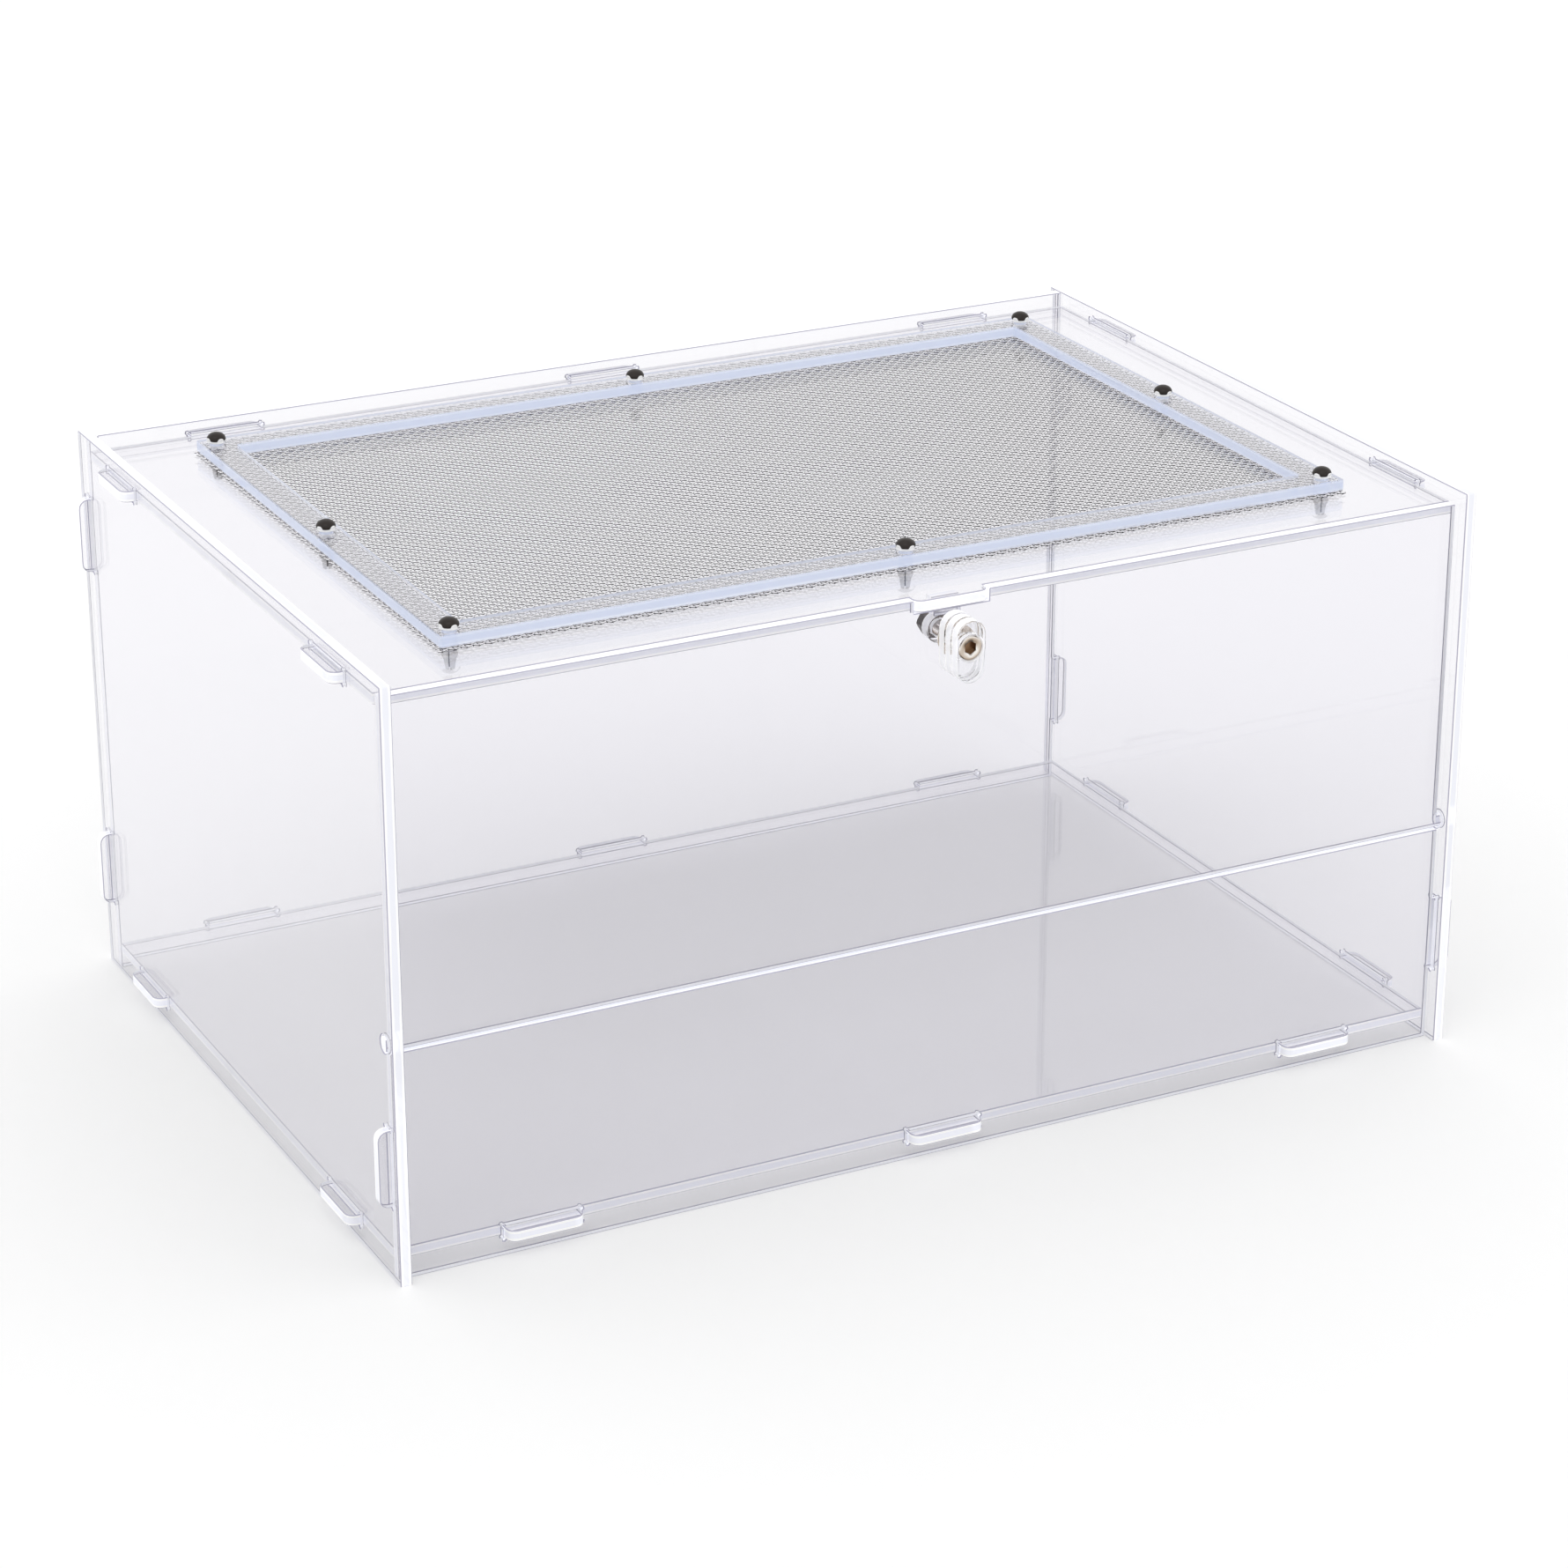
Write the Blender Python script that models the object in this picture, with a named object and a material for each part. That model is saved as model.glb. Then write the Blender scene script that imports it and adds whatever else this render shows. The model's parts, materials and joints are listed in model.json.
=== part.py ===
# Acrylic terrarium with a drop-down front door, a meshed vent and a turn latch.
# Clear sheet panels plug together with tabs and slots. Metres, +Z up, front towards -Y.

import math

import bmesh
import bpy
from mathutils import Matrix, Vector

MM = 0.001

# Driving dimensions, in millimetres

# Whole enclosure
case_width = 400.0          # over the outer faces of the side panels
side_depth = 280.0          # of the side panels, front to back
case_height = 205.0
sheet = 4.0                 # thickness of every acrylic panel
set_back = 5.0              # of the front and back panels from the side panels' edges
floor_height = 6.0          # underside of the floor panel above the ground
lid_drop = 5.0              # top face of the top panel below the side panels' tops

# Clearances
fit_gap = 0.3               # between pieces that touch
door_side_gap = 0.8         # between the door's ends and the side panels
pivot_lift = 3.2            # pivot axis above the front lower panel's top edge

# Tabs and slots
tab_length = 27.0
tab_reach = 4.0             # past the outer face of the panel that the tab goes through
door_tab_reach = 0.6        # likewise, for the top panel's front tab, past the door
tab_corner = 3.2            # radius of a tab's outer corners
relief = 0.6                # radius of the small round reliefs in a slot's corners
end_tab_places = 148.0      # floor and top tabs left and right of the middle
floor_side_tabs = 92.0      # floor tabs in the side panels, before and behind the middle
top_side_tabs = 96.0        # the top panel's, likewise
low_tab_height = 40.0       # middle of the lower tabs of the front and back panels
high_tab_height = 168.5     # middle of the back panel's upper tabs
panel_corner = 0.5          # radius of the panels' free corners

# Front lower panel and door
lower_panel_height = 80.0
ear_size = 4.0              # square pivot ear at each lower corner of the door
pivot_bore = 6.4            # diameter of the hole that the ear turns in

# Vent
vent_side_margin = 40.0     # from the side panels' inner faces to the clear opening
vent_end_margin = 33.0      # from the front and back panels' inner faces, likewise
vent_corner = 0.8
frame_member = 11.0         # width of the retaining frame's four sides
frame_sheet = 4.0
frame_corner = 0.5
mesh_thickness = 1.0
mesh_overhang = 0.75        # of the mesh past the frame's outer edge
mesh_bar = 1.1
mesh_columns = 9            # gaps from the middle one to the one round a corner rivet
mesh_rows = 6

# Push rivets through frame, mesh and top panel
rivet_bore = 4.6
rivet_stem = 4.0
rivet_flange = 6.1
rivet_flange_height = 0.8
rivet_collar = 5.3          # sprung-out part just below the top panel
rivet_collar_height = 2.4
rivet_leg_length = 4.0
rivet_tip = 3.0
rivet_hollow = 2.6
rivet_slit = 0.7
pin_head = 6.6
pin_head_height = 2.5
pin_shank = 2.0
rivet_sides = 16

# Latch
latch_drop = 14.0           # axis of the latch below the top panel's top face
knob_width = 10.5
knob_height = 21.4
knob_drop = 1.3             # middle of the knob below the latch axis
knob_middle = 4.0           # thickness of the middle layer
layer_gap = 0.2
screw_size = 5.0
screw_head = 8.5
screw_head_height = 3.5
socket_width = 4.0          # across flats
socket_depth = 2.0
washer_width = 11.0
washer_thickness = 0.5
cam_hub = 5.0               # radius
cam_tip = 4.0               # radius
cam_lid_gap = 0.6           # between the end of the closed cam and the top panel
cam_gap = 0.4               # between the strike plate and the cam
nut_width = 8.0             # across flats
nut_thickness = 4.0
screw_overrun = 1.2         # of the screw past the nut
strike_width = 10.0
strike_clearance = 1.3      # between the cam's hub and the strike plate's lower end
strike_gap = 0.6            # between the closed door and the strike plate

# Places worked out from the sizes above

half_width = case_width / 2
inner_half = half_width - sheet
panel_half = inner_half - fit_gap
side_half = side_depth / 2
front_outer = -(side_half - set_back)
front_inner = front_outer + sheet
back_outer = side_half - set_back
back_inner = back_outer - sheet
bed_front = front_inner + fit_gap
bed_back = back_inner - fit_gap
tab_end_x = half_width + tab_reach
tab_end_front = front_outer - tab_reach
door_tab_front = front_outer - door_tab_reach
tab_end_back = back_outer + tab_reach
floor_top = floor_height + sheet
lid_top = case_height - lid_drop
lid_bottom = lid_top - sheet

pivot_y = (front_outer + front_inner) / 2
pivot_z = lower_panel_height + pivot_lift
door_half = inner_half - door_side_gap

vent_width = 2 * (inner_half - vent_side_margin)        # the same in the top panel and the frame
vent_depth = 2 * (back_inner - vent_end_margin)
mesh_bottom = lid_top + fit_gap
frame_bottom = mesh_bottom + mesh_thickness + fit_gap
frame_top = frame_bottom + frame_sheet
frame_half_x = vent_width / 2 + frame_member
frame_half_y = vent_depth / 2 + frame_member
rivet_x = (vent_width + frame_member) / 2
rivet_y = (vent_depth + frame_member) / 2
rivet_places = [
    (x, y) for y in (-rivet_y, 0.0, rivet_y) for x in (-rivet_x, 0.0, rivet_x) if x or y
]

latch_z = lid_top - latch_drop
shank_hole = screw_size / 2 + fit_gap
washer_front = front_outer - layer_gap - washer_thickness
knob_back_front = washer_front - layer_gap - sheet
knob_middle_front = knob_back_front - layer_gap - knob_middle
knob_front_front = knob_middle_front - layer_gap - sheet
head_seat = knob_middle_front - layer_gap
head_front = head_seat - screw_head_height
strike_front = front_inner + strike_gap
cam_front = strike_front + sheet + cam_gap
nut_front = cam_front + sheet + fit_gap
screw_end = nut_front + nut_thickness + screw_overrun
strike_bottom = latch_z + cam_hub + strike_clearance
cam_reach = latch_drop - sheet - cam_lid_gap

# The ground point under the middle of the whole outline is the model's origin
depth_shift = -(side_half + min(head_front, knob_front_front)) / 2


# Materials

def make_material(name, colour, roughness, metallic=0.0, transmission=0.0, alpha=1.0):
    material = bpy.data.materials.new(name)
    material.use_nodes = True
    shader = material.node_tree.nodes["Principled BSDF"]
    shader.inputs["Base Color"].default_value = (*colour, 1.0)
    shader.inputs["Roughness"].default_value = roughness
    shader.inputs["Metallic"].default_value = metallic
    shader.inputs["Transmission Weight"].default_value = transmission
    shader.inputs["Alpha"].default_value = alpha
    material.diffuse_color = (*colour, alpha)
    return material


# Outlines, as lists of (u, v) points in millimetres

def corner_arc(before, corner, after, radius, steps=4):
    """Points of the arc that rounds one corner of an outline."""
    corner = Vector(corner)
    to_before = (Vector(before) - corner).normalized()
    to_after = (Vector(after) - corner).normalized()
    half_angle = to_before.angle(to_after) / 2
    centre = corner + (to_before + to_after).normalized() * radius / math.sin(half_angle)
    start = corner + to_before * radius / math.tan(half_angle) - centre
    end = corner + to_after * radius / math.tan(half_angle) - centre
    return [centre + start.slerp(end, step / steps).normalized() * radius for step in range(steps + 1)]


def rounded(corners):
    """Closed outline from (u, v, radius) corners; radius 0 leaves a corner sharp."""
    points = []
    count = len(corners)
    for index, (u, v, radius) in enumerate(corners):
        if radius == 0:
            points.append(Vector((u, v)))
            continue
        before = corners[index - 1][:2]
        after = corners[(index + 1) % count][:2]
        points.extend(corner_arc(before, (u, v), after, radius))
    return [point for index, point in enumerate(points) if (point - points[index - 1]).length > 1e-4]


def circle(u, v, radius, steps=24):
    turns = [2 * math.pi * step / steps for step in range(steps)]
    return [Vector((u + radius * math.cos(turn), v + radius * math.sin(turn))) for turn in turns]


def rectangle(half_u, half_v, radius):
    return rounded([
        (-half_u, -half_v, radius),
        (half_u, -half_v, radius),
        (half_u, half_v, radius),
        (-half_u, half_v, radius),
    ])


def slot(u, v, along_u, along_v):
    """Slot for a tab: its own size plus the gap all round, with round corner reliefs."""
    half_u = along_u / 2 + fit_gap
    half_v = along_v / 2 + fit_gap
    points = []
    for corner, (sign_u, sign_v) in enumerate([(-1, -1), (1, -1), (1, 1), (-1, 1)]):
        first = math.pi * (1 + corner / 2) - math.pi / 2
        for step in range(5):
            turn = first + 1.5 * math.pi * step / 4
            points.append(Vector((
                u + sign_u * half_u + relief * math.cos(turn),
                v + sign_v * half_v + relief * math.sin(turn),
            )))
    return points


def tabbed_edge(start, end, out, reach, centres):
    """Corners of the tabs along one edge. Centres are distances along it from its middle."""
    start = Vector(start)
    end = Vector(end)
    along = (end - start).normalized()
    middle = (start + end) / 2
    rise = Vector(out) * reach
    corners = []
    for centre in sorted(centres):
        foot = middle + along * centre
        half = along * tab_length / 2
        corners.append((*(foot - half), 0))
        corners.append((*(foot - half + rise), tab_corner))
        corners.append((*(foot + half + rise), tab_corner))
        corners.append((*(foot + half), 0))
    return corners


def tabbed_panel(
    low, high, front_tabs, right_tabs, back_tabs, left_tabs, reach_side, reach_front, reach_back, corner,
):
    """Outline of a panel from low to high corner, with tabs out of each of its four edges."""
    a = (low[0], low[1])
    b = (high[0], low[1])
    c = (high[0], high[1])
    d = (low[0], high[1])
    corners = [(*a, corner)]
    corners += tabbed_edge(a, b, (0, -1), reach_front, front_tabs)
    corners += [(*b, corner)]
    corners += tabbed_edge(b, c, (1, 0), reach_side, right_tabs)
    corners += [(*c, corner)]
    corners += tabbed_edge(c, d, (0, 1), reach_back, [-place for place in back_tabs])
    corners += [(*d, corner)]
    corners += tabbed_edge(d, a, (-1, 0), reach_side, [-place for place in left_tabs])
    return rounded(corners)


# Solids

FLAT = Matrix.Identity(3)                                   # sheet lies level, grows up
UPRIGHT = Matrix(((1, 0, 0), (0, 0, 1), (0, 1, 0)))         # sheet faces front, grows back
SIDEWAYS = Matrix(((0, 0, 1), (1, 0, 0), (0, 1, 0)))        # sheet faces the side, grows right


def finish_object(name, mesh_builder, material, location, parent):
    """Turn a bmesh in millimetres into a named object in metres."""
    bmesh.ops.scale(mesh_builder, vec=(MM, MM, MM), verts=mesh_builder.verts)
    bmesh.ops.recalc_face_normals(mesh_builder, faces=mesh_builder.faces)
    mesh = bpy.data.meshes.new(name)
    mesh_builder.to_mesh(mesh)
    mesh_builder.free()
    mesh.shade_smooth()
    mesh.set_sharp_from_angle(angle=math.radians(35))
    mesh.materials.append(material)
    return place_object(name, mesh, location, parent)


def place_object(name, mesh, location, parent):
    piece = bpy.data.objects.new(name, mesh)
    piece.location = Vector(location) * MM
    piece.parent = parent
    bpy.context.scene.collection.objects.link(piece)
    return piece


def cut_sheet(name, outline, holes, thickness, turn, material, location, parent):
    """Cut a piece out of sheet: fill the outline round its holes, then extrude it."""
    builder = bmesh.new()
    edges = []
    for loop in [outline] + holes:
        corners = [builder.verts.new((point[0], point[1], 0.0)) for point in loop]
        for index, corner in enumerate(corners):
            edges.append(builder.edges.new((corners[index - 1], corner)))
    bmesh.ops.triangle_fill(builder, edges=edges, use_beauty=True, use_dissolve=False)
    grown = bmesh.ops.extrude_face_region(builder, geom=builder.faces[:])
    risen = [item for item in grown["geom"] if isinstance(item, bmesh.types.BMVert)]
    bmesh.ops.translate(builder, verts=risen, vec=(0.0, 0.0, thickness))
    bmesh.ops.transform(builder, matrix=turn.to_4x4(), verts=builder.verts)
    return finish_object(name, builder, material, location, parent)


def turned(profile, sides):
    """Closed solid of revolution about Z from (radius, height) points, as a bmesh."""
    builder = bmesh.new()
    corners = [builder.verts.new((radius, 0.0, height)) for radius, height in profile]
    closed = profile[0][0] > 0
    pairs = zip(corners, corners[1:] + corners[:1]) if closed else zip(corners, corners[1:])
    edges = [builder.edges.new(pair) for pair in pairs]
    bmesh.ops.spin(
        builder, geom=corners + edges, axis=(0, 0, 1), cent=(0, 0, 0),
        angle=2 * math.pi, steps=sides, use_merge=True,
    )
    bmesh.ops.remove_doubles(builder, verts=builder.verts, dist=0.0001)
    return builder


def cut_with(piece, cutter, operation="DIFFERENCE"):
    """Boolean cut by a hidden object."""
    cutter.hide_render = True
    cutter.display_type = "WIRE"
    cut = piece.modifiers.new("cut", "BOOLEAN")
    cut.operation = operation
    cut.solver = "EXACT"
    cut.object = cutter


def make_empty(name, location, parent=None):
    empty = bpy.data.objects.new(name, None)
    empty.location = Vector(location) * MM
    empty.parent = parent
    bpy.context.scene.collection.objects.link(empty)
    return empty


# Panels

def make_floor_panel(parent, acrylic):
    ends = (-end_tab_places, 0.0, end_tab_places)
    sides = (-floor_side_tabs, floor_side_tabs)
    outline = tabbed_panel(
        (-panel_half, bed_front), (panel_half, bed_back), ends, sides, ends, sides,
        tab_end_x - panel_half, bed_front - tab_end_front, tab_end_back - bed_back, panel_corner,
    )
    cut_sheet("floor_panel", outline, [], sheet, FLAT, acrylic, (0, 0, floor_height), parent)


def make_top_panel(parent, acrylic):
    ends = (-end_tab_places, 0.0, end_tab_places)
    sides = (-top_side_tabs, top_side_tabs)
    outline = tabbed_panel(
        (-panel_half, bed_front), (panel_half, bed_back), (0.0,), sides, ends, sides,
        tab_end_x - panel_half, bed_front - door_tab_front, tab_end_back - bed_back, panel_corner,
    )
    holes = [rectangle(vent_width / 2, vent_depth / 2, vent_corner)]
    holes += [circle(x, y, rivet_bore / 2, rivet_sides) for x, y in rivet_places]
    cut_sheet("top_panel", outline, holes, sheet, FLAT, acrylic, (0, 0, lid_bottom), parent)


def make_side_panel(name, inner_x, parent, acrylic):
    outline = rounded([
        (-side_half, 0.0, panel_corner),
        (side_half, 0.0, panel_corner),
        (side_half, case_height, panel_corner),
        (-side_half, case_height, panel_corner),
    ])
    floor_middle = floor_height + sheet / 2
    lid_middle = lid_bottom + sheet / 2
    back_middle = back_inner + sheet / 2
    holes = [slot(y, floor_middle, tab_length, sheet) for y in (-floor_side_tabs, floor_side_tabs)]
    holes += [slot(y, lid_middle, tab_length, sheet) for y in (-top_side_tabs, top_side_tabs)]
    holes += [slot(back_middle, z, sheet, tab_length) for z in (low_tab_height, high_tab_height)]
    holes += [slot(pivot_y, low_tab_height, sheet, tab_length)]
    holes += [circle(pivot_y, pivot_z, pivot_bore / 2)]
    cut_sheet(name, outline, holes, sheet, SIDEWAYS, acrylic, (inner_x, 0, 0), parent)


def make_back_panel(parent, acrylic):
    side_tabs = [height - case_height / 2 for height in (low_tab_height, high_tab_height)]
    outline = tabbed_panel(
        (-panel_half, 0.0), (panel_half, case_height), [], side_tabs, [], side_tabs,
        tab_end_x - panel_half, 0.0, 0.0, panel_corner,
    )
    levels = (floor_height + sheet / 2, lid_bottom + sheet / 2)
    places = (-end_tab_places, 0.0, end_tab_places)
    holes = [slot(x, z, tab_length, sheet) for z in levels for x in places]
    cut_sheet("back_panel", outline, holes, sheet, UPRIGHT, acrylic, (0, back_inner, 0), parent)


def make_front_lower_panel(parent, acrylic):
    side_tabs = [low_tab_height - lower_panel_height / 2]
    outline = tabbed_panel(
        (-panel_half, 0.0), (panel_half, lower_panel_height), [], side_tabs, [], side_tabs,
        tab_end_x - panel_half, 0.0, 0.0, panel_corner,
    )
    places = (-end_tab_places, 0.0, end_tab_places)
    holes = [slot(x, floor_height + sheet / 2, tab_length, sheet) for x in places]
    cut_sheet(
        "front_lower_panel", outline, holes, sheet, UPRIGHT, acrylic, (0, front_outer, 0), parent,
    )


def make_front_door(hinge, acrylic):
    """The door's outline is drawn round the hinge axis, which is its origin."""
    ear_end = half_width
    bottom = -ear_size / 2
    ear_top = ear_size / 2
    top = lid_top - pivot_z
    notch_half = tab_length / 2 + fit_gap
    notch_floor = lid_bottom - fit_gap - pivot_z
    outline = rounded([
        (-ear_end, bottom, 0),
        (ear_end, bottom, 0),
        (ear_end, ear_top, 0),
        (door_half, ear_top, 0),
        (door_half, top, panel_corner),
        (notch_half, top, panel_corner),
        (notch_half, notch_floor, 0),
        (-notch_half, notch_floor, 0),
        (-notch_half, top, panel_corner),
        (-door_half, top, panel_corner),
        (-door_half, ear_top, 0),
        (-ear_end, ear_top, 0),
    ])
    holes = [circle(0.0, latch_z - pivot_z, shank_hole)]
    cut_sheet(
        "front_door", outline, holes, sheet, UPRIGHT, acrylic, (0, front_outer - pivot_y, 0), hinge,
    )


def make_strike_plate(parent, acrylic):
    half = strike_width / 2
    outline = rounded([
        (-half, strike_bottom, panel_corner),
        (half, strike_bottom, panel_corner),
        (half, lid_bottom - fit_gap, 0),
        (-half, lid_bottom - fit_gap, 0),
    ])
    cut_sheet("strike_plate", outline, [], sheet, UPRIGHT, acrylic, (0, strike_front, 0), parent)


# Vent

def make_vent_mesh(parent, steel):
    """Flat net whose gaps fall round the rivets: inset every cell of a grid, then thicken it."""
    pitch_x = rivet_x / mesh_columns
    pitch_y = rivet_y / mesh_rows
    half_x = frame_half_x + mesh_overhang
    half_y = frame_half_y + mesh_overhang
    builder = bmesh.new()
    bmesh.ops.create_grid(
        builder, x_segments=2 * mesh_columns + 1, y_segments=2 * mesh_rows + 1, size=1.0,
    )
    grid_x = pitch_x * (mesh_columns + 0.5)
    grid_y = pitch_y * (mesh_rows + 0.5)
    bmesh.ops.scale(builder, vec=(grid_x, grid_y, 1.0), verts=builder.verts)
    for corner in builder.verts:
        corner.co.x = max(-half_x, min(half_x, corner.co.x))
        corner.co.y = max(-half_y, min(half_y, corner.co.y))
    gaps = builder.faces[:]
    bmesh.ops.inset_individual(builder, faces=gaps, thickness=mesh_bar / 2, use_even_offset=True)
    bmesh.ops.delete(builder, geom=gaps, context="FACES")
    grown = bmesh.ops.extrude_face_region(builder, geom=builder.faces[:])
    risen = [item for item in grown["geom"] if isinstance(item, bmesh.types.BMVert)]
    bmesh.ops.translate(builder, verts=risen, vec=(0.0, 0.0, mesh_thickness))
    finish_object("vent_mesh", builder, steel, (0, 0, mesh_bottom), parent)


def make_retaining_frame(parent, acrylic):
    outline = rectangle(frame_half_x, frame_half_y, frame_corner)
    holes = [rectangle(vent_width / 2, vent_depth / 2, vent_corner)]
    holes += [circle(x, y, rivet_bore / 2, rivet_sides) for x, y in rivet_places]
    cut_sheet(
        "mesh_retaining_frame", outline, holes, frame_sheet, FLAT, acrylic,
        (0, 0, frame_bottom), parent,
    )


def make_rivets(parent, nylon, dark):
    """Eight hollow rivets with split legs, each spread by a pin with a domed head."""
    flange_bottom = frame_top + fit_gap
    flange_top = flange_bottom + rivet_flange_height
    collar_top = lid_bottom - fit_gap
    collar_bottom = collar_top - rivet_collar_height
    leg_end = collar_bottom - rivet_leg_length
    hollow = rivet_hollow / 2
    body_profile = [
        (hollow, flange_top),
        (rivet_flange / 2, flange_top),
        (rivet_flange / 2, flange_bottom),
        (rivet_stem / 2, flange_bottom),
        (rivet_stem / 2, collar_top),
        (rivet_collar / 2, collar_top - 0.25 * rivet_collar_height),
        (rivet_collar / 2, collar_bottom + 0.25 * rivet_collar_height),
        (rivet_stem / 2, collar_bottom),
        (rivet_tip / 2, leg_end),
        (hollow, leg_end),
    ]
    body = finish_object("vent_rivet_1", turned(body_profile, rivet_sides), nylon, (0, 0, 0), parent)
    slit_cutter = bmesh.new()
    slit_height = collar_top - leg_end + 1.0
    for turn in (0.0, math.pi / 2):
        step = bmesh.ops.create_cube(slit_cutter, size=1.0)
        bmesh.ops.scale(slit_cutter, vec=(rivet_flange, rivet_slit, slit_height), verts=step["verts"])
        bmesh.ops.rotate(slit_cutter, matrix=Matrix.Rotation(turn, 3, "Z"), verts=step["verts"])
        bmesh.ops.translate(
            slit_cutter, vec=(0, 0, collar_top - slit_height / 2), verts=step["verts"],
        )
    cutter = finish_object("slit_cutter", slit_cutter, nylon, (0, 0, 0), parent)
    cut_with(body, cutter)

    head_bottom = flange_top + fit_gap
    head_steps = 5
    dome = [
        (
            pin_head / 2 * math.cos(math.pi / 2 * step / head_steps),
            head_bottom + pin_head_height * (0.25 + 0.75 * math.sin(math.pi / 2 * step / head_steps)),
        )
        for step in range(head_steps)
    ]
    pin_end = leg_end + 1.0
    pin_profile = [(0.0, head_bottom + pin_head_height)] + dome[::-1] + [
        (pin_head / 2, head_bottom),
        (pin_shank / 2, head_bottom),
        (pin_shank / 2, pin_end + pin_shank / 2),
        (0.0, pin_end),
    ]
    pin = finish_object("vent_rivet_pin_1", turned(pin_profile, rivet_sides), dark, (0, 0, 0), parent)

    for number, (x, y) in enumerate(rivet_places, start=1):
        if number == 1:
            for piece in (body, pin, cutter):
                piece.location = Vector((x, y, 0)) * MM
            continue
        copy = place_object(f"vent_rivet_{number}", body.data, (x, y, 0), parent)
        copy_cutter = place_object(f"slit_cutter_{number}", cutter.data, (x, y, 0), parent)
        cut_with(copy, copy_cutter)
        place_object(f"vent_rivet_pin_{number}", pin.data, (x, y, 0), parent)


# Latch, drawn round its own axis; y is measured from the hinge, which carries it

def make_latch(axis, acrylic, bright, steel):
    knob_hole = screw_head / 2 + fit_gap
    layers = (
        ("latch_knob_back", knob_back_front, sheet, shank_hole),
        ("latch_knob_middle", knob_middle_front, knob_middle, shank_hole),
        ("latch_knob_front", knob_front_front, sheet, knob_hole),
    )
    half = knob_width / 2
    top = knob_height / 2 - knob_drop
    bottom = -knob_height / 2 - knob_drop
    stadium = rounded([(-half, bottom, half), (half, bottom, half), (half, top, half), (-half, top, half)])
    for name, front, thickness, hole in layers:
        cut_sheet(
            name, stadium, [circle(0, 0, hole)], thickness, UPRIGHT, acrylic,
            (0, front - pivot_y, 0), axis,
        )

    cut_sheet(
        "latch_washer", circle(0, 0, washer_width / 2), [circle(0, 0, shank_hole)], washer_thickness,
        UPRIGHT, bright, (0, washer_front - pivot_y, 0), axis,
    )

    lean = math.acos((cam_hub - cam_tip) / (cam_reach - cam_tip))
    cam_outline = []
    for step in range(13):
        turn = lean + (2 * math.pi - 2 * lean) * step / 12
        cam_outline.append(Vector((cam_hub * math.cos(turn), cam_hub * math.sin(turn))))
    for step in range(9):
        turn = -lean + 2 * lean * step / 8
        cam_outline.append(Vector((
            cam_reach - cam_tip + cam_tip * math.cos(turn), cam_tip * math.sin(turn),
        )))
    cut_sheet(
        "latch_cam", cam_outline, [circle(0, 0, shank_hole)], sheet, UPRIGHT, acrylic,
        (0, cam_front - pivot_y, 0), axis,
    )
    make_screw(axis, bright)
    make_nut(axis, steel)


FORWARD = Matrix(((1, 0, 0), (0, 0, -1), (0, 1, 0)))        # turned piece: its +Z points to the front


def make_screw(axis, bright):
    """Cap screw with a hexagon socket, turned, with the socket cut in."""
    head_radius = screw_head / 2
    chamfer = 0.4
    length = screw_end - head_seat
    profile = [
        (0.0, screw_head_height),
        (head_radius - chamfer, screw_head_height),
        (head_radius, screw_head_height - chamfer),
        (head_radius, 0.0),
        (screw_size / 2, 0.0),
        (screw_size / 2, -length + chamfer),
        (screw_size / 2 - chamfer, -length),
        (0.0, -length),
    ]
    builder = turned(profile, 24)
    bmesh.ops.transform(builder, matrix=FORWARD.to_4x4(), verts=builder.verts)
    screw = finish_object("latch_screw", builder, bright, (0, head_seat - pivot_y, 0), axis)
    socket = bmesh.new()
    bmesh.ops.create_cone(
        socket, segments=6, radius1=socket_width / math.sqrt(3), radius2=socket_width / math.sqrt(3),
        depth=2 * socket_depth, cap_ends=True,
    )
    bmesh.ops.transform(socket, matrix=FORWARD.to_4x4(), verts=socket.verts)
    cutter = finish_object("socket_cutter", socket, bright, (0, head_front - pivot_y, 0), axis)
    cut_with(screw, cutter)


def make_nut(axis, steel):
    """Hexagon nut: a hexagon with a hole, its corners taken off by a chamfered turning."""
    corner_radius = nut_width / math.sqrt(3)
    hexagon = circle(0, 0, corner_radius, 6)
    nut = cut_sheet(
        "latch_nut", hexagon, [circle(0, 0, shank_hole)], nut_thickness, UPRIGHT, steel,
        (0, nut_front - pivot_y, 0), axis,
    )
    chamfer = 0.6
    half = nut_thickness / 2
    profile = [
        (0.0, half + 0.1),
        (nut_width / 2 + 0.1, half + 0.1),
        (corner_radius + 0.2, half - chamfer),
        (corner_radius + 0.2, -half + chamfer),
        (nut_width / 2 + 0.1, -half - 0.1),
        (0.0, -half - 0.1),
    ]
    builder = turned(profile, 24)
    bmesh.ops.transform(builder, matrix=FORWARD.to_4x4(), verts=builder.verts)
    middle = nut_front + half - pivot_y
    cutter = finish_object("nut_chamfer_cutter", builder, steel, (0, middle, 0), axis)
    cut_with(nut, cutter, "INTERSECT")


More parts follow.
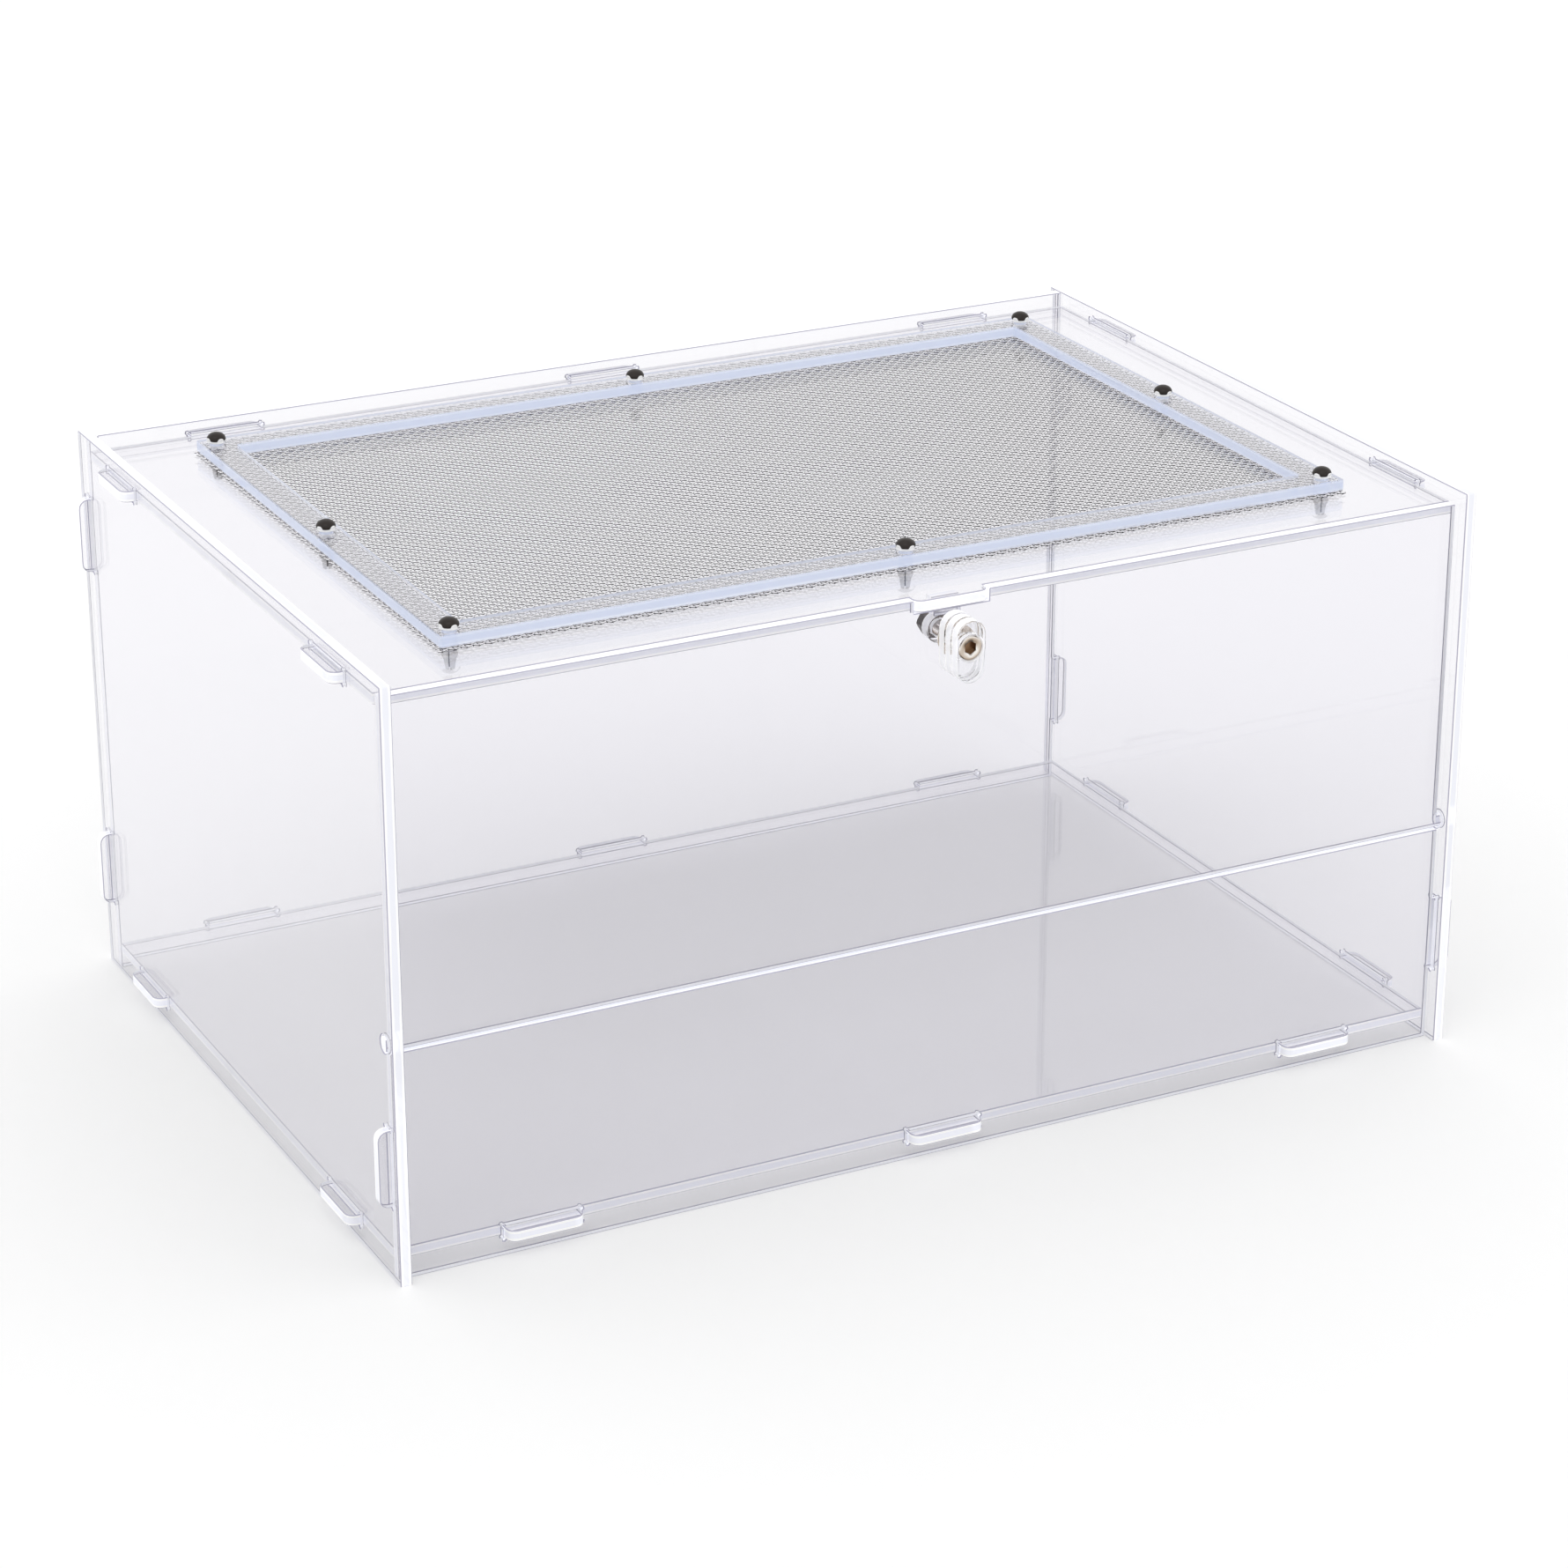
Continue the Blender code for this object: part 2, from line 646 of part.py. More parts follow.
def main():
    for old in list(bpy.data.objects):
        bpy.data.objects.remove(old, do_unlink=True)

    acrylic = make_material("clear_acrylic", (0.93, 0.94, 0.96), 0.05, transmission=0.9, alpha=0.35)
    steel_wire = make_material("steel_wire", (0.62, 0.63, 0.65), 0.35, metallic=1.0)
    nylon = make_material("natural_nylon", (0.90, 0.91, 0.92), 0.3, transmission=0.4)
    dark = make_material("dark_plastic", (0.035, 0.026, 0.022), 0.25)
    bright = make_material("bright_metal", (0.86, 0.84, 0.80), 0.08, metallic=1.0)
    dark_steel = make_material("dark_steel", (0.10, 0.09, 0.09), 0.35, metallic=1.0)

    case = make_empty("case", (0, depth_shift, 0))
    make_floor_panel(case, acrylic)
    make_side_panel("left_side_panel", -half_width, case, acrylic)
    make_side_panel("right_side_panel", inner_half, case, acrylic)
    make_back_panel(case, acrylic)
    make_front_lower_panel(case, acrylic)
    make_top_panel(case, acrylic)
    make_strike_plate(case, acrylic)
    make_vent_mesh(case, steel_wire)
    make_retaining_frame(case, acrylic)
    make_rivets(case, nylon, dark)

    hinge = make_empty("door_hinge", (0, pivot_y, pivot_z), case)
    make_front_door(hinge, acrylic)
    latch_axis = make_empty("latch_axis", (0, 0, latch_z - pivot_z), hinge)
    make_latch(latch_axis, acrylic, bright, dark_steel)


main()
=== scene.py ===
# %% [markdown]
# # A clear sheet terrarium
# The case is cut from clear acrylic sheet and plugs together with tabs and slots. Its front door drops
# open on two square ears, a turn latch holds it, and a wire mesh vent is riveted into the top.
# Almost everything here is transparent, so the look comes from the cut edges, the fine chamfers that
# bound them, the woven wire and the few dark and bright fittings.

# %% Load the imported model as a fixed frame
import json
import math

import bmesh
import bpy
from mathutils import Matrix, Vector


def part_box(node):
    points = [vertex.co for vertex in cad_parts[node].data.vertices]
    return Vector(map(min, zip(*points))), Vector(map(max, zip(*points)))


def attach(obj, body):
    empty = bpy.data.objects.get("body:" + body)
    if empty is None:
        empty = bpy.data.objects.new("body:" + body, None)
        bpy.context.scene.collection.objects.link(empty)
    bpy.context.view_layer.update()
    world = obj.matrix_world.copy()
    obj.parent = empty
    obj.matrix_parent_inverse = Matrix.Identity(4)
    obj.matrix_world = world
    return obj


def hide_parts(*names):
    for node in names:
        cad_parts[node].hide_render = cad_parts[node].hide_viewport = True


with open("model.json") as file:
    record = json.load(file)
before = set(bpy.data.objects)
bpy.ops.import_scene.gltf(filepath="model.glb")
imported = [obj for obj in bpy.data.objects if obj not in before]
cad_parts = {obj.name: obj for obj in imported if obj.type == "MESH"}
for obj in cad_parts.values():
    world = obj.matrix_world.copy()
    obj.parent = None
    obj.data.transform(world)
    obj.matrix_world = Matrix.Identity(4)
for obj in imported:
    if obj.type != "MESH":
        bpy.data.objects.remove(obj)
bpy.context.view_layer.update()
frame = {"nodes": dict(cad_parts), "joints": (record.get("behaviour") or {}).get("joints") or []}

# %% [markdown]
# ## Places taken from the frame
# Every new piece sits on what carries it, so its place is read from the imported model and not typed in.
# The model is in metres, with +Y to the back.

# %% Places
MM = 0.001
mesh_low, mesh_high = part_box("vent_mesh")
top_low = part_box("top_panel")[0]
frame_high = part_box("mesh_retaining_frame")[1]
vent_middle = (mesh_low + mesh_high) / 2
joint_at = {joint["name"]: Vector(joint["pos_m"]) for joint in frame["joints"]}
latch_axis = joint_at["latch_turn"]
print("vent middle", vent_middle, "latch axis", latch_axis)

# %% [markdown]
# ## Shader maths as Python
# A node tree for a formula such as `0.5 + 0.42 * up - 0.12 * side` takes four nodes and five links. The
# class below wraps a socket, so that the formula is written as it is read and Python adds the nodes.
# A second class holds the nodes of one material, and adds any other node by its type.

# %% Signal and Finish
class Signal:
    """A value that flows through a material's nodes, with Python's operators."""

    def __init__(self, finish, socket):
        self.finish = finish
        self.socket = socket

    def maths(self, operation, *values):
        return self.finish.node("ShaderNodeMath", values, operation=operation)

    def __add__(self, other):
        return self.maths("ADD", self, other)

    __radd__ = __add__

    def __sub__(self, other):
        return self.maths("SUBTRACT", self, other)

    def __rsub__(self, other):
        return self.maths("SUBTRACT", other, self)

    def __mul__(self, other):
        return self.maths("MULTIPLY", self, other)

    __rmul__ = __mul__

    def __lt__(self, other):
        return self.maths("LESS_THAN", self, other)

    def absolute(self):
        return self.maths("ABSOLUTE", self)

    def most(self, other):
        return self.maths("MAXIMUM", self, other)


class Finish:
    """The nodes of one new material, or of a world that is handed in."""

    def __init__(self, name, owner=None, output="ShaderNodeOutputMaterial"):
        self.owner = owner or bpy.data.materials.new(name)
        self.owner.use_nodes = True
        self.tree = self.owner.node_tree
        self.tree.nodes.clear()
        self.output = self.tree.nodes.new(output)

    def node(self, kind, values=(), out=0, **settings):
        """Add a node. Settings come first, then values or links for its sockets, by place or by name."""
        node = self.tree.nodes.new(kind)
        for key, value in settings.items():
            setattr(node, key, value)
        pairs = values.items() if isinstance(values, dict) else enumerate(values)
        for key, value in pairs:
            if isinstance(value, Signal):
                self.tree.links.new(value.socket, node.inputs[key])
            else:
                node.inputs[key].default_value = value
        return Signal(self, node.outputs[out])

    def place(self):
        """The point on the piece, in metres, in the object's own axes."""
        return self.node("ShaderNodeTexCoord", out="Object")

    def axis(self, vector, name):
        return self.node("ShaderNodeSeparateXYZ", [vector], out=name)

    def noise(self, vector, scale, detail=2.0):
        return self.node("ShaderNodeTexNoise", {"Vector": vector, "Scale": scale, "Detail": detail})

    def attribute(self, name):
        return self.node("ShaderNodeAttribute", out="Fac", attribute_name=name)

    def ramp(self, value, *stops):
        """Colour ramp from (position, (r, g, b)) stops."""
        ramp = self.node("ShaderNodeValToRGB", [value])
        elements = ramp.socket.node.color_ramp.elements
        while len(elements) < len(stops):
            elements.new(0.5)
        for element, (position, colour) in zip(elements, stops):
            element.position = position
            element.color = (*colour, 1.0)
        return ramp

    def mix(self, share, first, second):
        """Mix of two colours."""
        node = self.tree.nodes.new("ShaderNodeMix")
        node.data_type = "RGBA"
        for key, value in zip((0, 6, 7), (share, first, second)):
            if isinstance(value, Signal):
                self.tree.links.new(value.socket, node.inputs[key])
            else:
                node.inputs[key].default_value = value if key == 0 else (*value, 1.0)
        return Signal(self, node.outputs[2])

    def bump(self, height, strength, distance):
        sockets = {"Height": height, "Strength": strength, "Distance": distance}
        return self.node("ShaderNodeBump", sockets, out="Normal")

    def surface(self, shader):
        self.tree.links.new(shader.socket, self.output.inputs["Surface"])
        print("finish", self.owner.name, len(self.tree.nodes), "nodes")
        return self.owner


def colour(r, g, b):
    return (r, g, b, 1.0)


# %% [markdown]
# ## Clear sheet
# A sheet of acrylic bends light as glass does, and that is what makes a clear box readable: the rim of
# each sheet mirrors the room in thin bright and dark lines. So the faces are a true refracting finish
# with acrylic's index of 1.49. Lamps would not get through it without caustics, so shadow rays see a
# faintly tinted Transparent shader in its place.

# %% Clear face finish
ACRYLIC_IOR = 1.49


def clear_acrylic(name, tint, roughness=0.0):
    """Refracting sheet that lets the lamps through."""
    look = Finish(name)
    solid = look.node("ShaderNodeBsdfPrincipled", {
        "Base Color": colour(*tint),
        "Roughness": roughness,
        "IOR": ACRYLIC_IOR,
        "Transmission Weight": 1.0,
    })
    passed = look.node("ShaderNodeBsdfTransparent", {"Color": colour(0.99, 0.99, 0.993)})
    shadow = look.node("ShaderNodeLightPath", out="Is Shadow Ray")
    return look.surface(look.node("ShaderNodeMixShader", [shadow, solid, passed]))


sheet_face = clear_acrylic("clear_sheet_face", (0.940, 0.935, 0.958))
knob_face = clear_acrylic("clear_knob_face", (0.98, 0.98, 0.985))
hazy_face = clear_acrylic("hazy_sheet_face", (0.80, 0.80, 0.82), 0.25)

# %% [markdown]
# ## Cut edges
# A laser leaves the edge of a sheet bright and slightly wavy. In a real sheet, light that travelled
# inside it comes out there, so the edge looks solid white, with a blue-grey core between its two faces.
# Here the edge's colour is partly the cut's own tone and partly painted light: the bright band and the
# core are painted across it, and it glows with painted Emission in the same tone. The pattern runs across
# the thickness, which each sheet piece stores in an attribute called `across`.

# %% Edge and chamfer finishes
def cut_edge(name, rim, band, core, painted_glow, cover):
    """Edge of a sheet, coloured from one face to the other by the attribute across, with a painted glow.
    """
    look = Finish(name)
    across = look.attribute("across")
    streak = look.noise(look.place(), 55.0, 3.0)
    depth = (across - 0.5).absolute() * 2.0 + 0.5 * (streak - 0.5)
    tone = look.ramp(depth, (0.0, core), (0.42, core), (0.58, band), (0.82, band), (1.0, rim))
    shader = look.node("ShaderNodeBsdfPrincipled", {
        "Base Color": tone,
        "Roughness": 0.12,
        "IOR": ACRYLIC_IOR,
        "Alpha": cover,
        # painted light: the edge glows in its own tone, standing in for the light the sheet carries to it
        "Emission Color": tone,
        "Emission Strength": painted_glow,
        "Normal": look.bump(streak, 0.15, 0.0004),
    })
    return look.surface(shader)


sheet_edge = cut_edge(
    "cut_edge", rim=(0.95, 0.95, 0.97), band=(0.99, 0.99, 0.99), core=(0.86, 0.87, 0.93),
    painted_glow=0.30, cover=0.85,
)
knob_edge = cut_edge(
    "knob_edge", rim=(0.97, 0.97, 0.98), band=(0.99, 0.99, 0.99), core=(0.93, 0.93, 0.96),
    painted_glow=0.30, cover=0.80,
)
frame_edge = cut_edge(
    "frame_edge", rim=(0.80, 0.84, 0.95), band=(0.70, 0.76, 0.92), core=(0.62, 0.69, 0.88),
    painted_glow=0.25, cover=0.60,
)


def painted_shade_line(name, tone):
    """The hair-fine chamfer where an edge meets a face, which reads as a darker line of uneven tone:
    painted shade in its colour.
    """
    look = Finish(name)
    uneven = look.noise(look.place(), 40.0, 2.0)
    lighter = tuple(1.25 * channel for channel in tone)
    shader = look.node("ShaderNodeBsdfPrincipled", {
        "Base Color": look.mix(uneven, tone, lighter),
        "Roughness": 0.25,
        "IOR": ACRYLIC_IOR,
    })
    return look.surface(shader)


# painted shade: the chamfers of the sheets are coloured a dark lavender grey
sheet_painted_shade_line = painted_shade_line("painted_shade_line", (0.44, 0.43, 0.53))

# %% [markdown]
# ## Dressing a sheet
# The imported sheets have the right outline, slots and holes, but their corners are perfectly sharp and
# they carry one material. A copy of each is merged and its flat triangles dissolved, then the rims of its
# two faces are bevelled by about 0.3 mm, and the bevel, the faces and the edges each get their finish.
# The two faces are shaded flat, because one tilted corner normal would bend the view through the sheet.

# %% Helpers that finish a mesh
def object_from(builder, name, materials, smooth_angle=35):
    """Turn a bmesh into an object at the origin."""
    mesh = bpy.data.meshes.new(name)
    builder.to_mesh(mesh)
    builder.free()
    mesh.shade_smooth()
    mesh.set_sharp_from_angle(angle=math.radians(smooth_angle))
    for material in materials:
        mesh.materials.append(material)
    piece = bpy.data.objects.new(name, mesh)
    bpy.context.scene.collection.objects.link(piece)
    return piece


def fit(piece, body, slot, *nodes):
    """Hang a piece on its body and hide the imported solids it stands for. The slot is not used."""
    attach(piece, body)
    if nodes:
        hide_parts(*nodes)
    print(piece.name, "has", len(piece.data.polygons), "faces")
    return piece


WELD_GAP = 0.01 * MM
FLAT_WITHIN = math.radians(1)
FACE, EDGE, CHAMFER = 0, 1, 2           # a sheet's materials, by place in its list
X, Y, Z = 0, 1, 2


def merged_copy(node):
    """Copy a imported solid, whose triangles are loose, as one closed mesh of whole flat faces."""
    builder = bmesh.new()
    builder.from_mesh(frame["nodes"][node].data)
    bmesh.ops.remove_doubles(builder, verts=builder.verts, dist=WELD_GAP)
    bmesh.ops.dissolve_limit(
        builder, angle_limit=FLAT_WITHIN, verts=builder.verts, edges=builder.edges,
    )
    return builder


def dress_sheet(node, body, thin, materials, rim=0.3 * MM):
    """Bevel the rims of a sheet's two faces and sort its polygons by finish. thin is its short axis."""
    builder = merged_copy(node)
    low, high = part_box(node)

    def is_face(polygon):
        return abs(polygon.normal[thin]) > 0.9

    rims = [
        edge for edge in builder.edges
        if len(edge.link_faces) == 2 and is_face(edge.link_faces[0]) != is_face(edge.link_faces[1])
    ]
    bevelled = bmesh.ops.bevel(
        builder, geom=rims, offset=rim, offset_type="OFFSET", affect="EDGES",
        segments=1, profile=0.5, material=-1, clamp_overlap=False,
    )
    for polygon in builder.faces:
        polygon.material_index = FACE if is_face(polygon) else EDGE
    for polygon in bevelled["faces"]:
        polygon.material_index = CHAMFER
    across = builder.verts.layers.float.new("across")
    for corner in builder.verts:
        corner[across] = (corner.co[thin] - low[thin]) / (high[thin] - low[thin])
    piece = object_from(builder, node + "_sheet", materials, 25)
    for polygon in piece.data.polygons:
        polygon.use_smooth = polygon.material_index != FACE
    return fit(piece, body, "clear_acrylic", node)


sheet_finish = [sheet_face, sheet_edge, sheet_painted_shade_line]
strike_finish = [hazy_face, sheet_edge, sheet_painted_shade_line]
frame_finish = [sheet_face, frame_edge, sheet_face]

# %% [markdown]
# ## The nine sheets
# Floor, two sides, back, lower front, door, top, the strike plate of the latch and the frame that clamps
# the mesh all come from the same stock. They differ in outline, which the frame already holds, and two
# of them in finish: the strike plate is hazy, and the edges of the frame are bluer.

# %% Dress the sheets
for node, thin in (
    ("floor_panel", Z), ("top_panel", Z), ("left_side_panel", X), ("right_side_panel", X),
    ("back_panel", Y), ("front_lower_panel", Y),
):
    dress_sheet(node, "case", thin, sheet_finish)
dress_sheet("front_door", "door", Y, sheet_finish)
dress_sheet("strike_plate", "case", Y, strike_finish)
dress_sheet("mesh_retaining_frame", "case", Z, frame_finish)

# %% [markdown]
# ## Woven wire
# The vent is a plain weave of crimped wire: every wire goes over one neighbour and under the next. One
# wire is extruded step by step along a zigzag of peaks, half a pitch at a time, and smooth shading turns
# its four sides into a round wire. Copies shifted by one pitch and by half a wave make the cloth.

# %% Wire finish
def wire_finish_with_painted_shade(name, shade_from, flank, crest):
    """Painted shade on the underside of a wire up to a height of its slope, then its flank and a painted
    highlight on its crest.
    """
    look = Finish(name)
    patch = look.noise(look.place(), 60.0, 3.0)
    normal = look.node("ShaderNodeTexCoord", out="Normal")
    height = look.axis(normal, "Z") + 0.06 * (patch - 0.5)
    # painted light: dark where the wire faces down, bright where it faces up, read from its normal
    tone = look.ramp(
        0.5 + 0.5 * height,
        (0.0, (0.012, 0.012, 0.014)), (shade_from, (0.02, 0.02, 0.024)), (shade_from + 0.12, flank),
        (1.0, crest),
    )
    shader = look.node("ShaderNodeBsdfPrincipled", {
        "Base Color": tone,
        "Metallic": 1.0,
        "Roughness": 0.28 + 0.2 * patch,
    })
    return look.surface(shader)


# the long wires take a painted lit copy of the steel and the cross wires a painted shaded copy
painted_lit_steel = wire_finish_with_painted_shade("woven_steel_painted_lit", 0.50, (0.96, 0.95, 0.98), (1.0, 0.99, 1.0))
painted_shaded_steel = wire_finish_with_painted_shade("woven_steel_painted_shade", 0.70, (0.19, 0.187, 0.20), (0.80, 0.79, 0.82))

# %% Weave the mesh
WIRE_RADIUS = 0.29 * MM
WIRE_PITCH = 2.08 * MM
WIRE_SIDES = 4
HOLE_RADIUS = 2.5 * MM          # hole in the mesh round each rivet
TIP_RISE = 0.4                  # height of a cut end, as a share of the height at the crossing beside it


def crimped_wire(length, crossings, pitch):
    """Mesh of one wire along X, from end to end, which goes over its neighbour at the first crossing."""
    builder = bmesh.new()
    start = bmesh.ops.create_circle(builder, segments=WIRE_SIDES, radius=WIRE_RADIUS, cap_ends=True)
    bmesh.ops.rotate(builder, verts=start["verts"], matrix=Matrix.Rotation(math.radians(90), 3, "Y"))
    stub = (length - (crossings - 1) * pitch) / 2
    crossing_x = [-length / 2 + stub + pitch * step / 2 for step in range(2 * crossings - 1)]
    stations = [(x, WIRE_RADIUS * math.cos(math.pi * step / 2)) for step, x in enumerate(crossing_x)]
    first_tip = (-length / 2, TIP_RISE * stations[0][1])
    last_tip = (length / 2, TIP_RISE * stations[-1][1])
    stations = [first_tip, *stations, last_tip]
    x, z = stations[0]
    bmesh.ops.translate(builder, verts=builder.verts, vec=(x, 0, z))
    cap = builder.faces[:]
    for step, (next_x, next_z) in enumerate(stations[1:]):
        grown = bmesh.ops.extrude_face_region(builder, geom=cap)["geom"]
        if step > 0:
            inner = [polygon for polygon in cap if polygon.is_valid]
            bmesh.ops.delete(builder, geom=inner, context="FACES_ONLY")
        moved = [item for item in grown if isinstance(item, bmesh.types.BMVert)]
        cap = [item for item in grown if isinstance(item, bmesh.types.BMFace)]
        bmesh.ops.translate(builder, verts=moved, vec=(next_x - x, 0, next_z - z))
        x, z = next_x, next_z
    bmesh.ops.recalc_face_normals(builder, faces=builder.faces)
    mesh = bpy.data.meshes.new("one_wire")
    builder.to_mesh(mesh)
    builder.free()
    return mesh


def lay_wires(name, finish, one_wire, places, turn, under_first, holes):
    """Lay copies of one wire side by side, every other one upside down, and cut them at the rivets."""
    builder = bmesh.new()
    for offset, row in places:
        before = len(builder.verts)
        builder.from_mesh(one_wire)
        builder.verts.ensure_lookup_table()
        fresh = builder.verts[before:]
        if (row % 2 == 0) == under_first:
            bmesh.ops.scale(builder, vec=(1, 1, -1), verts=fresh)
            flipped = {face for corner in fresh for face in corner.link_faces}
            bmesh.ops.reverse_faces(builder, faces=list(flipped))
        bmesh.ops.translate(builder, verts=fresh, vec=(0, offset, 0))
    bmesh.ops.rotate(builder, verts=builder.verts, matrix=Matrix.Rotation(turn, 3, "Z"))
    bmesh.ops.translate(builder, verts=builder.verts, vec=vent_middle)
    lost = [
        corner for corner in builder.verts
        if any((corner.co.xy - hole).length < HOLE_RADIUS for hole in holes)
    ]
    bmesh.ops.delete(builder, geom=lost, context="VERTS")
    rims = [edge for edge in builder.edges if edge.is_boundary]
    bmesh.ops.holes_fill(builder, edges=rims, sides=WIRE_SIDES)
    return fit(object_from(builder, name, [finish], 180), "case", "steel_wire", "vent_mesh")


def middle_of(node):
    low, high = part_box(node)
    return (low + high) / 2


rivet_nodes = [f"vent_rivet_{number}" for number in range(1, 9)]
rivet_places = [middle_of(node).xy for node in rivet_nodes]
mesh_size = mesh_high - mesh_low
count_x = round(mesh_size.x / WIRE_PITCH)
count_y = round(mesh_size.y / WIRE_PITCH)
long_wire = crimped_wire(mesh_size.x, count_x, WIRE_PITCH)
cross_wire = crimped_wire(mesh_size.y, count_y, WIRE_PITCH)
long_rows = [((row - (count_y - 1) / 2) * WIRE_PITCH, row) for row in range(count_y)]
cross_rows = [((row - (count_x - 1) / 2) * WIRE_PITCH, row) for row in range(count_x)]
half_y = len(long_rows) // 2
half_x = len(cross_rows) // 2
for quarter in (
    ("mesh_wires_front", painted_lit_steel, long_wire, long_rows[:half_y], 0.0, True),
    ("mesh_wires_back", painted_lit_steel, long_wire, long_rows[half_y:], 0.0, True),
    ("mesh_wires_left", painted_shaded_steel, cross_wire, cross_rows[:half_x], -math.pi / 2, False),
    ("mesh_wires_right", painted_shaded_steel, cross_wire, cross_rows[half_x:], -math.pi / 2, False),
):
    lay_wires(*quarter, rivet_places)
print("woven", count_x, "cross wires and", count_y, "long wires")

# %% [markdown]
# ## Fittings
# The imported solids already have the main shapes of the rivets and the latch. Their finishes come first,
# then finer meshes for the rivets, the screw and the washer, which a close look needs.

# %% Finishes of the fittings
def nylon_finish():
    look = Finish("natural_nylon")
    place = look.place()
    cloud = look.noise(place, 300.0, 2.0)
    crown = look.mix(cloud, (0.90, 0.90, 0.91), (0.97, 0.97, 0.97))
    # painted shade: the legs under the top panel are coloured darker than the crown
    painted_shade_legs = look.mix(cloud, (0.58, 0.56, 0.56), (0.82, 0.81, 0.81))
    painted_shade_below = look.axis(place, "Z") < top_low.z
    shader = look.node("ShaderNodeBsdfPrincipled", {
        "Base Color": look.mix(painted_shade_below, crown, painted_shade_legs),
        "Roughness": 0.25,
        "Alpha": 0.8,
        # painted glow: a white Emission lightens the whole rivet body
        "Emission Color": colour(1.0, 1.0, 1.0),
        "Emission Strength": 0.2,
    })
    return look.surface(shader)


def dark_plastic_finish():
    look = Finish("dark_plastic")
    grain = look.noise(look.place(), 900.0, 3.0)
    shader = look.node("ShaderNodeBsdfPrincipled", {
        "Base Color": look.mix(grain, (0.016, 0.012, 0.011), (0.035, 0.027, 0.023)),
        "Roughness": 0.28 + 0.15 * grain,
        "Specular IOR Level": 0.25,
        "Normal": look.bump(grain, 0.2, 0.0001),
    })
    return look.surface(shader)


def bright_metal_finish():
    """Warm polished steel. Its tone follows the slope, as if it mirrored a bright room with dark gaps."""
    look = Finish("polished_metal")
    cloud = look.noise(look.place(), 250.0, 2.0)
    normal = look.node("ShaderNodeTexCoord", out="Normal")
    slope = 0.5 + 0.42 * look.axis(normal, "Z") - 0.12 * look.axis(normal, "X") + 0.06 * (cloud - 0.5)
    tone = look.ramp(
        slope,
        (0.0, (0.10, 0.07, 0.055)), (0.22, (0.45, 0.36, 0.29)), (0.34, (0.06, 0.045, 0.04)),
        (0.46, (0.46, 0.37, 0.29)), (0.62, (0.95, 0.92, 0.88)), (0.74, (0.16, 0.13, 0.12)),
        (0.86, (0.98, 0.96, 0.94)), (1.0, (0.72, 0.66, 0.60)),
    )
    shader = look.node("ShaderNodeBsdfPrincipled", {
        "Base Color": tone,
        "Metallic": 1.0,
        "Roughness": 0.08 + 0.1 * cloud,
    })
    return look.surface(shader)


def dark_steel_finish():
    look = Finish("dark_steel")
    cloud = look.noise(look.place(), 350.0, 3.0)
    shader = look.node("ShaderNodeBsdfPrincipled", {
        "Base Color": look.mix(cloud, (0.05, 0.04, 0.04), (0.16, 0.13, 0.12)),
        "Metallic": 1.0,
        "Roughness": 0.3 + 0.2 * cloud,
    })
    return look.surface(shader)


def socket_finish():
    """Inside of the screw's socket: painted brown shade with a painted glint low on one side."""
    look = Finish("socket_painted_shade")
    cloud = look.noise(look.place(), 300.0, 2.0)
    normal = look.node("ShaderNodeTexCoord", out="Normal")
    slope = 0.5 + 0.5 * look.axis(normal, "Z") + 0.08 * (cloud - 0.5)
    # painted shade and glint: dark where the socket's faces point down, bright where they face up
    tone = look.ramp(
        slope, (0.0, (0.03, 0.02, 0.015)), (0.5, (0.20, 0.12, 0.07)), (0.75, (0.10, 0.065, 0.045)),
        (1.0, (0.75, 0.68, 0.60)),
    )
    shader = look.node("ShaderNodeBsdfPrincipled", {
        "Base Color": tone,
        "Metallic": 1.0,
        "Roughness": 0.25 + 0.1 * cloud,
    })
    return look.surface(shader)


nylon = nylon_finish()
dark_plastic = dark_plastic_finish()
bright_metal = bright_metal_finish()
socket_painted_shade = socket_finish()
dark_steel = dark_steel_finish()

# %% [markdown]
# ## Rivets
# A rivet is a hollow body with a lobed flange and four sprung legs, and a dark pin that spreads them.
# Both are turned shapes, so each is a profile spun round the upright axis. The legs are four part spins.

# %% Turned shapes
def corners_of(polygons):
    """The corners of some faces, each once and always in the same order."""
    return list(dict.fromkeys(corner for polygon in polygons for corner in polygon.verts))


def spun(builder, profile, steps=48, turn=2 * math.pi, closed=False):
    """Spin a profile of (radius, height) pairs in millimetres round Z and return the new faces."""
    before = set(builder.faces)
    corners = [builder.verts.new((radius * MM, 0, height * MM)) for radius, height in profile]
    pairs = list(zip(corners, corners[1:]))
    if closed:
        pairs.append((corners[-1], corners[0]))
    edges = [builder.edges.new(pair) for pair in pairs]
    geometry = corners + edges
    if closed and turn < 2 * math.pi:
        geometry.append(builder.faces.new(corners))
    bmesh.ops.spin(
        builder, geom=geometry, cent=(0, 0, 0), axis=(0, 0, 1), angle=turn, steps=steps,
        use_merge=turn >= 2 * math.pi,
    )
    fresh = [face for face in builder.faces if face not in before]
    bmesh.ops.remove_doubles(builder, verts=corners_of(fresh), dist=0.001 * MM)
    fresh = [face for face in builder.faces if face not in before]
    bmesh.ops.recalc_face_normals(builder, faces=fresh)
    return fresh


def set_down(builder, point, matrix=None):
    """Turn the whole mesh, if a matrix is given, and move it to its place on the model."""
    if matrix:
        bmesh.ops.transform(builder, matrix=matrix.to_4x4(), verts=builder.verts)
    bmesh.ops.translate(builder, verts=builder.verts, vec=point)


# %% Rivet bodies and pins
flange_low = (frame_high.z - top_low.z) / MM + 0.3      # heights are from the top panel's underside
FLANGE_RADIUS = 2.9
FLANGE_RIM = 0.3                # the lobes swell the rim by this depth and rise from this height on it
LOBE_SWELL = 0.2                # as a share of the radius
LOBE_RISE = 1.0
LEG_TURN = math.radians(70)
HEAD_RADIUS = 3.3
HEAD_BAND = 0.5                 # height of the pin's head below its dome
HEAD_DOME = 2.3
DOME_STEPS = 10


